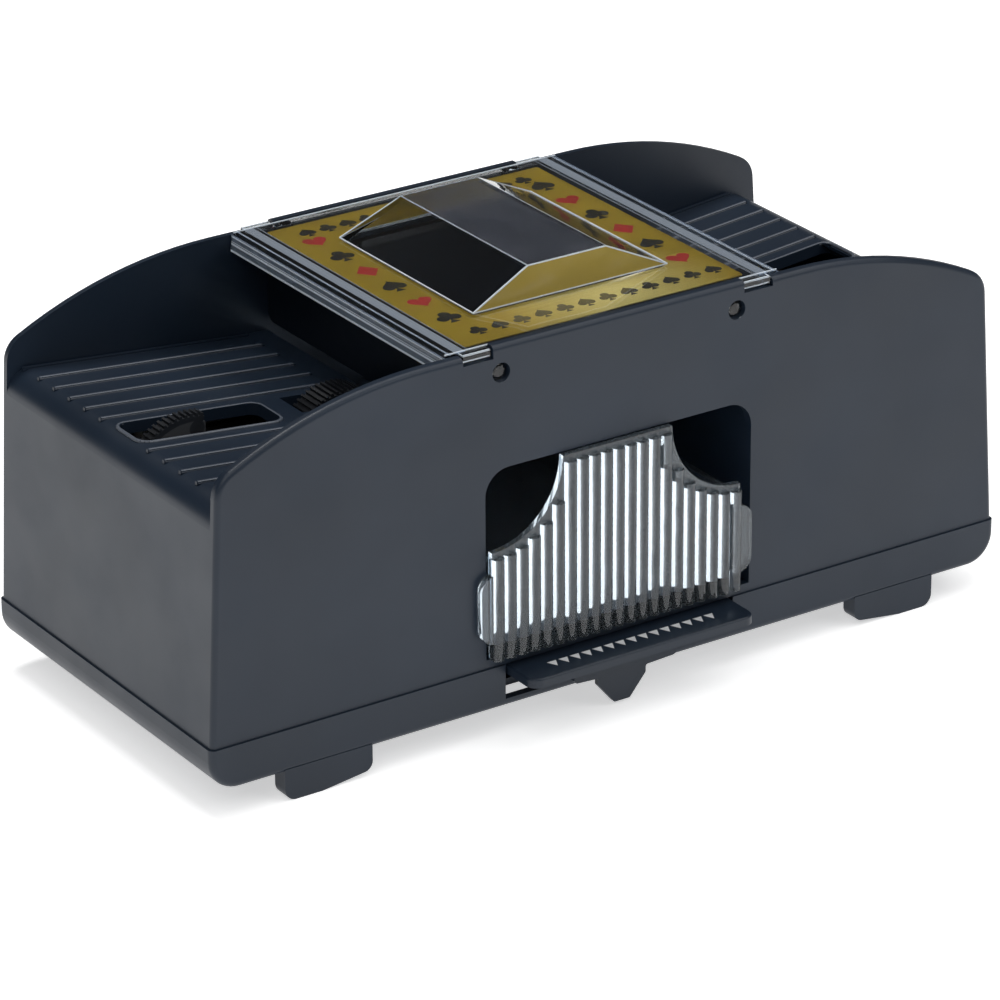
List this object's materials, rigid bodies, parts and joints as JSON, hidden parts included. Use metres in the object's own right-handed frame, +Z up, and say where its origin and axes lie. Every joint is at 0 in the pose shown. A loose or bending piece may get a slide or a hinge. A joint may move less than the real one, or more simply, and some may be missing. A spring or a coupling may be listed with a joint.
{
  "type": "automatic card shuffler",
  "caption": "Battery card shuffler with sloping card trays, ribbed feed wheels, clear raised cover, clear card drawer and a front press lever.",
  "frame": {"origin": "under the centre of the whole bounding box, on the table", "axes": "+X along the length towards the right tray, -Y towards the front with the lever and drawer, +Z up"},
  "size_m": [0.2244, 0.1094, 0.1058],
  "materials": {
    "housing": "satin",
    "base": "satin",
    "lever": "satin",
    "clear": "clear polished",
    "drawer": "clear polished",
    "label": "brushed gold foil",
    "dark_frame": "satin",
    "bed": "satin",
    "rubber": "matt ribbed",
    "hub": "satin",
    "gear": "satin",
    "gear_plate": "satin",
    "steel": "ground",
    "screw": "zinc plated",
    "spring": "drawn wire",
    "motor": "rolled steel",
    "brass": "turned",
    "battery_box": "satin",
    "cell": "printed sleeve",
    "contact": "nickel plated"
  },
  "bodies": {
    "housing": {"upper_housing": "housing", "lower_housing": "base", "clear_cover": "clear", "label_sheet": "label", "chamber_frame": "dark_frame", "drawer_bed": "bed", "housing_screws": "screw", "lever_pivot_pin": "steel", "lever_springs": "spring", "switch_leaf": "brass", "switch_contact": "brass", "left_gear_plate_front": "gear_plate", "left_gear_plate_rear": "gear_plate", "left_gearbox_screws": "screw", "left_gear_studs": "steel", "left_bearing_plate": "gear_plate", "left_motor_can": "motor", "left_motor_cap": "dark_frame", "left_battery_box": "battery_box", "left_battery_contacts": "contact", "left_battery_cells": "cell", "right_gear_plate_front": "gear_plate", "right_gear_plate_rear": "gear_plate", "right_gearbox_screws": "screw", "right_gear_studs": "steel", "right_bearing_plate": "gear_plate", "right_motor_can": "motor", "right_motor_cap": "dark_frame", "right_battery_box": "battery_box", "right_battery_contacts": "contact", "right_battery_cells": "cell"},
    "drawer": {"card_drawer": "drawer"},
    "lever": {"press_lever": "lever"},
    "left_kicker": {"left_kicker_hub": "hub", "left_kicker_tyre": "rubber", "left_kicker_gear": "gear", "left_kicker_axle": "steel"},
    "left_roller": {"left_roller_hub": "hub", "left_roller_tyre": "rubber", "left_roller_gear": "gear", "left_roller_axle": "steel"},
    "left_drive": {"left_drive_gear": "gear"},
    "left_reduction": {"left_reduction_gear": "gear"},
    "left_rotor": {"left_motor_shaft": "steel", "left_motor_pinion": "brass"},
    "left_door": {"left_battery_door": "base"},
    "right_kicker": {"right_kicker_hub": "hub", "right_kicker_tyre": "rubber", "right_kicker_gear": "gear", "right_kicker_axle": "steel"},
    "right_roller": {"right_roller_hub": "hub", "right_roller_tyre": "rubber", "right_roller_gear": "gear", "right_roller_axle": "steel"},
    "right_drive": {"right_drive_gear": "gear"},
    "right_reduction": {"right_reduction_gear": "gear"},
    "right_rotor": {"right_motor_shaft": "steel", "right_motor_pinion": "brass"},
    "right_door": {"right_battery_door": "base"}
  },
  "joints": [
    {"name": "lever_press", "type": "hinge", "parent": "housing", "child": "lever", "pos_m": [0, -0.01975, 0.015], "axis": [1, 0, 0], "range_deg": [0, 1.9], "stiffness_Nm_per_rad": 2, "springref_deg": -2.86, "deforming": ["lever_springs"]},
    {"name": "drawer_slide", "type": "slide", "parent": "housing", "child": "drawer", "axis": [0, -1, 0], "range_m": [0, 0.08]},
    {"name": "left_kicker_spin", "type": "hinge", "parent": "housing", "child": "left_kicker", "pos_m": [-0.091, 0.00525, 0.0646], "axis": [0, 1, 0], "continuous": true},
    {"name": "left_roller_spin", "type": "hinge", "parent": "housing", "child": "left_roller", "pos_m": [-0.047, 0.00525, 0.0623], "axis": [0, 1, 0], "continuous": true},
    {"name": "left_drive_gear_spin", "type": "hinge", "parent": "housing", "child": "left_drive", "pos_m": [-0.06756, 0.00525, 0.05232], "axis": [0, 1, 0], "continuous": true},
    {"name": "left_reduction_gear_spin", "type": "hinge", "parent": "housing", "child": "left_reduction", "pos_m": [-0.07556, 0.00525, 0.03133], "axis": [0, 1, 0], "continuous": true},
    {"name": "left_motor_spin", "type": "hinge", "parent": "housing", "child": "left_rotor", "pos_m": [-0.0605, 0.00525, 0.03133], "axis": [0, 1, 0], "continuous": true},
    {"name": "left_door_slide", "type": "slide", "parent": "housing", "child": "left_door", "axis": [1, 0, 0], "range_m": [0, 0.042]},
    {"name": "right_kicker_spin", "type": "hinge", "parent": "housing", "child": "right_kicker", "pos_m": [0.087, 0.00525, 0.0646], "axis": [0, -1, 0], "continuous": true},
    {"name": "right_roller_spin", "type": "hinge", "parent": "housing", "child": "right_roller", "pos_m": [0.047, 0.00525, 0.0623], "axis": [0, -1, 0], "continuous": true},
    {"name": "right_drive_gear_spin", "type": "hinge", "parent": "housing", "child": "right_drive", "pos_m": [0.06561, 0.00525, 0.04902], "axis": [0, -1, 0], "continuous": true},
    {"name": "right_reduction_gear_spin", "type": "hinge", "parent": "housing", "child": "right_reduction", "pos_m": [0.07361, 0.00525, 0.02804], "axis": [0, -1, 0], "continuous": true},
    {"name": "right_motor_spin", "type": "hinge", "parent": "housing", "child": "right_rotor", "pos_m": [0.05855, 0.00525, 0.02804], "axis": [0, -1, 0], "continuous": true},
    {"name": "right_door_slide", "type": "slide", "parent": "housing", "child": "right_door", "axis": [-1, 0, 0], "range_m": [0, 0.042]}
  ],
  "couplings": [
    {"joint": "left_roller_spin", "follows": "left_kicker_spin", "ratio": 1.6923},
    {"joint": "left_drive_gear_spin", "follows": "left_kicker_spin", "ratio": -0.5},
    {"joint": "left_reduction_gear_spin", "follows": "left_kicker_spin", "ratio": 1.8333},
    {"joint": "left_motor_spin", "follows": "left_kicker_spin", "ratio": -7.3333},
    {"joint": "right_roller_spin", "follows": "right_kicker_spin", "ratio": 1.6923},
    {"joint": "right_drive_gear_spin", "follows": "right_kicker_spin", "ratio": -0.5},
    {"joint": "right_reduction_gear_spin", "follows": "right_kicker_spin", "ratio": 1.8333},
    {"joint": "right_motor_spin", "follows": "right_kicker_spin", "ratio": -7.3333}
  ]
}
